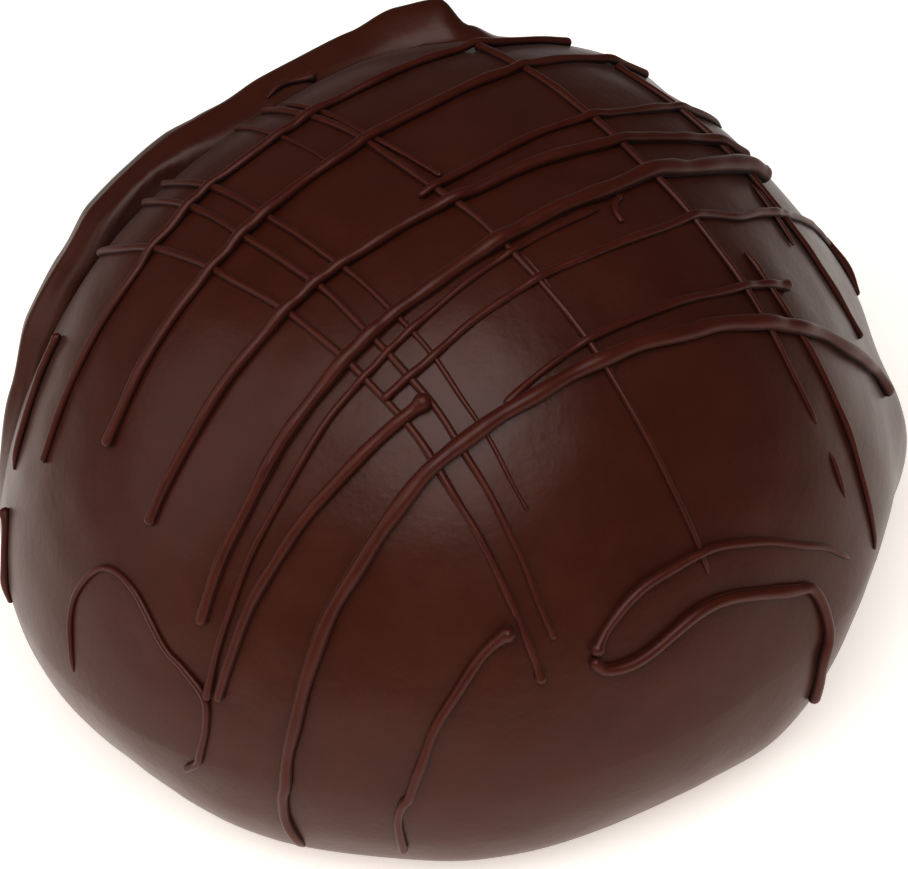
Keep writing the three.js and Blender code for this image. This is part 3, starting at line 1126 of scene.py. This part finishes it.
CROSS_STRANDS = (
    Strand((-12.5, 2.5), (2, -16.4), (0.30, 0.30, 0.28), 0.36, -0.18, BLUNT, BEAD),
    Strand((-10.5, 3.4), (2.6, -15.7), (0.30, 0.28, 0.26), 0.12, -0.15),
    Strand((-9.7, 3.8), (2.2, -13.3), (0.28, 0.26, 0.12), 0.23, -0.09, BLUNT, BEAD),
    Strand((-6.8, 5.6), (-3.4, 0.5), (0.22, 0.20, 0.16), 0, 0, BLUNT, THIN),
    Strand((-5.7, 6.3), (8.4, -13.3), (0.28, 0.28, 0.20), 0.09, -0.03, BLUNT, THIN),
    Strand((-4.7, 5.8), (0.7, -1.5), (0.24, 0.24, 0.22), -0.18, 0),
    Strand((3.1, -5.3), (4.1, -6.8), (0.18, 0.20, 0.16), 0, 0, THIN, THIN),
    Strand((2.7, 7.7), (13.2, -7.5), (0.36, 0.30, 0.20), -0.09, -0.06, BLUNT, THIN),
    Strand((11.4, -2.7), (15.1, -8.3), (0.24, 0.28, 0.18), 0.3, -0.14, THIN, THIN),
    Strand((7.9, 7.4), (15.8, -0.1), (0.30, 0.30, 0.26), -0.22, -0.09),
    Strand((12.3, 2.5), (13.6, 0.5), (0.20, 0.24, 0.20), 0, 0, THIN, THIN),
    Strand((13.6, -7.9), (14, -8.6), (0.16, 0.20, 0.14), 0, 0, THIN, THIN),
)
LONG_STRANDS = (
    Strand((-16.7, -1.8), (-14.2, 0.2), (0.26, 0.32, 0.34), 0.13, 0, THIN, BLUNT),
    Strand((-15.3, -4.1), (6.3, 9.7), (0.30, 0.36, 0.34), 0.41, -0.02),
    Strand((-12.6, -6.6), (9.2, 8.7), (0.40, 0.44, 0.34), 0.15, 0.06),
    Strand((-11.3, -9.8), (12.3, 4.6), (0.42, 0.48, 0.42), -0.48, 0.36),
    Strand((-0.2, -2.5), (11.8, 6.9), (0.30, 0.34, 0.30), -0.55, 0.1, BLUNT, THIN),
    Strand((-9.9, -12.7), (12.9, 4), (0.42, 0.60, 0.68), -1.08, 0.39),
    Strand((-10.1, -13.8), (6.2, -3.2), (0.28, 0.28, 0.24), -0.09, 0.01, BLUNT, THIN),
    Strand((-9.7, -14), (-0.7, -10.3), (0.34, 0.46, 0.46), 0.02, 0.02, BLUNT, BEAD),
    Strand((1.9, -10.7), (12.9, -2.9), (0.28, 0.32, 0.32), -0.3, 0.14, BLUNT, BEAD),
)
HOOKS = (
    Hook(((-2.3, -10.2), (1, -8.2), (4.5, -6), (7.9, -3.9), (9.9, -2), (11.5, -0.7), (12.6, 1),
          (13.6, 2.6), (14.3, 3.9), (14.9, 5.2), (15.4, 6)),
         (0.30, 0.32, 0.30)),
    Hook(((-9.9, -19.8), (-9.4, -18.8), (-8.9, -17.6), (-8.4, -16.8), (-7.9, -16.1),
          (-7.5, -15.8), (-6.4, -15.1), (-4.6, -14.1), (-2.4, -12.9), (0.1, -11.7), (3, -10.4),
          (6.2, -8.6), (9.2, -7.1), (11.9, -5.4), (14.4, -3.3), (15.6, -2), (16.1, -1.2),
          (16.5, -0.8)),
         (0.36, 0.60, 0.46), THIN, BLUNT),
    Hook(((13.9, -9.8), (12.8, -10.5), (9.7, -12.2), (6.2, -14.2), (4.6, -15.2), (3.9, -15.8)),
         (0.22, 0.34, 0.38), THIN, BEAD),
    Hook(((3.8, -15.9), (4.3, -16), (5.6, -15.5), (8, -14), (11.4, -12.1), (12.2, -11.6),
          (12.7, -11.6), (12.8, -12), (13.2, -12.8), (14.6, -14.4)),
         (0.42, 0.46, 0.46)),
    Hook(((-15.2, -9.5), (-14.9, -8.8), (-14.3, -8.8), (-13.3, -9.4), (-12.3, -10.6),
          (-11.4, -12.2), (-10.8, -12.9), (-10.2, -13.7), (-10.3, -14), (-10.7, -14.1),
          (-11.8, -14.2)),
         (0.20, 0.26, 0.26), THIN, BLUNT),
    Hook(((1.2, -15.6), (-0.1, -16), (-1.4, -16.6), (-2.1, -16.9), (-2.6, -17.1), (-3.1, -17.2),
          (-3.5, -17.3), (-3.9, -17.9), (-4.2, -18.7), (-4.6, -20.4)),
         (0.40, 0.36, 0.32), BEAD, BLUNT),
    Hook(((7.1, -2.4), (6.8, -2.9), (6.8, -3.3), (7, -3.7)),
         (0.20, 0.22, 0.20)),
    Hook(((-17.2, -2.2), (-17.3, -2.8), (-17.5, -3.2), (-17.7, -3.5), (-18.2, -3.8)),
         (0.34, 0.36, 0.54), BEAD, THIN),
    Hook(((-5.4, 7.2), (-4.6, 7.8), (-3.5, 8.3)),
         (0.26, 0.30, 0.30), THIN, BEAD),
    Hook(((15.2, 6.1), (15.6, 5.7), (15.9, 5.2), (16.1, 4.5)),
         (0.30, 0.50, 0.58), BLUNT, THIN),
)


# --- Studio ---


@dataclass
class Studio:
    """Floor, soft lights and the camera."""

    target: tuple[float, float, float] = (0.0, 0.0, 6.5)
    distance: float = 175.0
    elevation: float = 42.0
    roll: float = 7.25
    lens: float = 178.5
    aim_right: float = -0.14
    aim_down: float = -0.83
    floor_size: float = 1600.0
    floor_gap: float = 0.01
    sensor: float = 36.0
    clip_start: float = 0.01
    sky_colour: str = "#f3f5f8"
    sky_strength: float = 0.1

    def floor(self) -> None:
        """Lays a sheet of white paper just under the truffle; it glows in a painted pool of
        light.
        """
        half = self.floor_size / 2
        corners = [(-half, -half), (half, -half), (half, half), (-half, half)]
        mesh = bpy.data.meshes.new("paper")
        low = -self.floor_gap * MM
        mesh.from_pydata([(x * MM, y * MM, low) for x, y in corners], [], [(0, 1, 2, 3)])
        sheet = bpy.data.objects.new("paper", mesh)
        bpy.context.scene.collection.objects.link(sheet)
        mesh.materials.append(MattPaper().build())

    def softbox(self, name: str, azimuth: float, elevation: float, size: float, power: float,
                reach: float = 320.0) -> None:
        """Hangs a round soft light that faces the truffle.

        Args:
            name: The light's name.
            azimuth: Direction to it in degrees, 0 along +X and 90 along +Y.
            elevation: Its height above the horizon in degrees.
            size: Its width in millimetres.
            power: Its power in watts.
            reach: Its distance in millimetres.
        """
        lamp = bpy.data.lights.new(name, "AREA")
        lamp.shape = "DISK"
        lamp.size = size * MM
        lamp.energy = power
        holder = bpy.data.objects.new(name, lamp)
        bpy.context.scene.collection.objects.link(holder)
        a, e = math.radians(azimuth), math.radians(elevation)
        way = Vector((math.cos(a) * math.cos(e), math.sin(a) * math.cos(e), math.sin(e)))
        holder.location = Vector(self.target) * MM + way * reach * MM
        holder.rotation_mode = "QUATERNION"
        holder.rotation_quaternion = way.to_track_quat("Z", "Y")

    def sky(self) -> None:
        """Lights the room evenly."""
        world = bpy.data.worlds.new("room")
        world.use_nodes = True
        backdrop = world.node_tree.nodes["Background"]
        backdrop.inputs["Color"].default_value = linear_colour(self.sky_colour)
        backdrop.inputs["Strength"].default_value = self.sky_strength
        bpy.context.scene.world = world

    def camera(self) -> None:
        """Sets the camera: over the front, leaning a little so that the far side turns left."""
        e, r = math.radians(self.elevation), math.radians(self.roll)
        back = Vector((0, -math.cos(e), math.sin(e)))
        level, steep = Vector((1, 0, 0)), Vector((0, math.sin(e), math.cos(e)))
        right = level * math.cos(r) - steep * math.sin(r)
        up = level * math.sin(r) + steep * math.cos(r)
        target = Vector(self.target)
        stand = target + back * self.distance
        aim = target + right * self.aim_right - up * self.aim_down
        axis = (stand - aim).normalized()
        right = up.cross(axis).normalized()
        up = axis.cross(right)
        data = bpy.data.cameras.new("camera")
        data.lens = self.lens
        data.sensor_width = self.sensor
        data.clip_start = self.clip_start
        holder = bpy.data.objects.new("camera", data)
        bpy.context.scene.collection.objects.link(holder)
        turned = Matrix((right, up, axis)).transposed().to_4x4()
        turned.translation = stand * MM
        holder.matrix_world = turned
        bpy.context.scene.camera = holder

    def build(self) -> None:
        """Sets up the whole studio."""
        self.floor()
        self.sky()
        self.softbox("key", azimuth=-92, elevation=60, size=330, power=0.56)
        self.softbox("left", azimuth=190, elevation=30, size=300, power=0.17)
        self.camera()
        bpy.context.scene.view_settings.view_transform = "Standard"
        bpy.context.scene.view_settings.look = "High Contrast"


def main() -> None:
    """Builds the truffle and its studio, and reports each piece."""
    logging.basicConfig(level=logging.INFO, format="%(name)s: %(message)s")
    form = CoatForm()
    coat = Coat(form).build()
    cross = Drizzle(form, "drizzle_cross", CROSS_STRANDS)
    pieces = [coat, cross.build()]
    long = Drizzle(form, "drizzle_long", LONG_STRANDS, under=cross.routes)
    pieces.append(long.build())
    hooks = Drizzle(form, "drizzle_hooks", HOOKS, under=cross.routes)
    pieces.append(hooks.build())
    for piece in pieces:
        LOG.info("%s: %d faces", piece.name, len(piece.data.polygons))
    Studio().build()


if __name__ == "__main__":
    main()
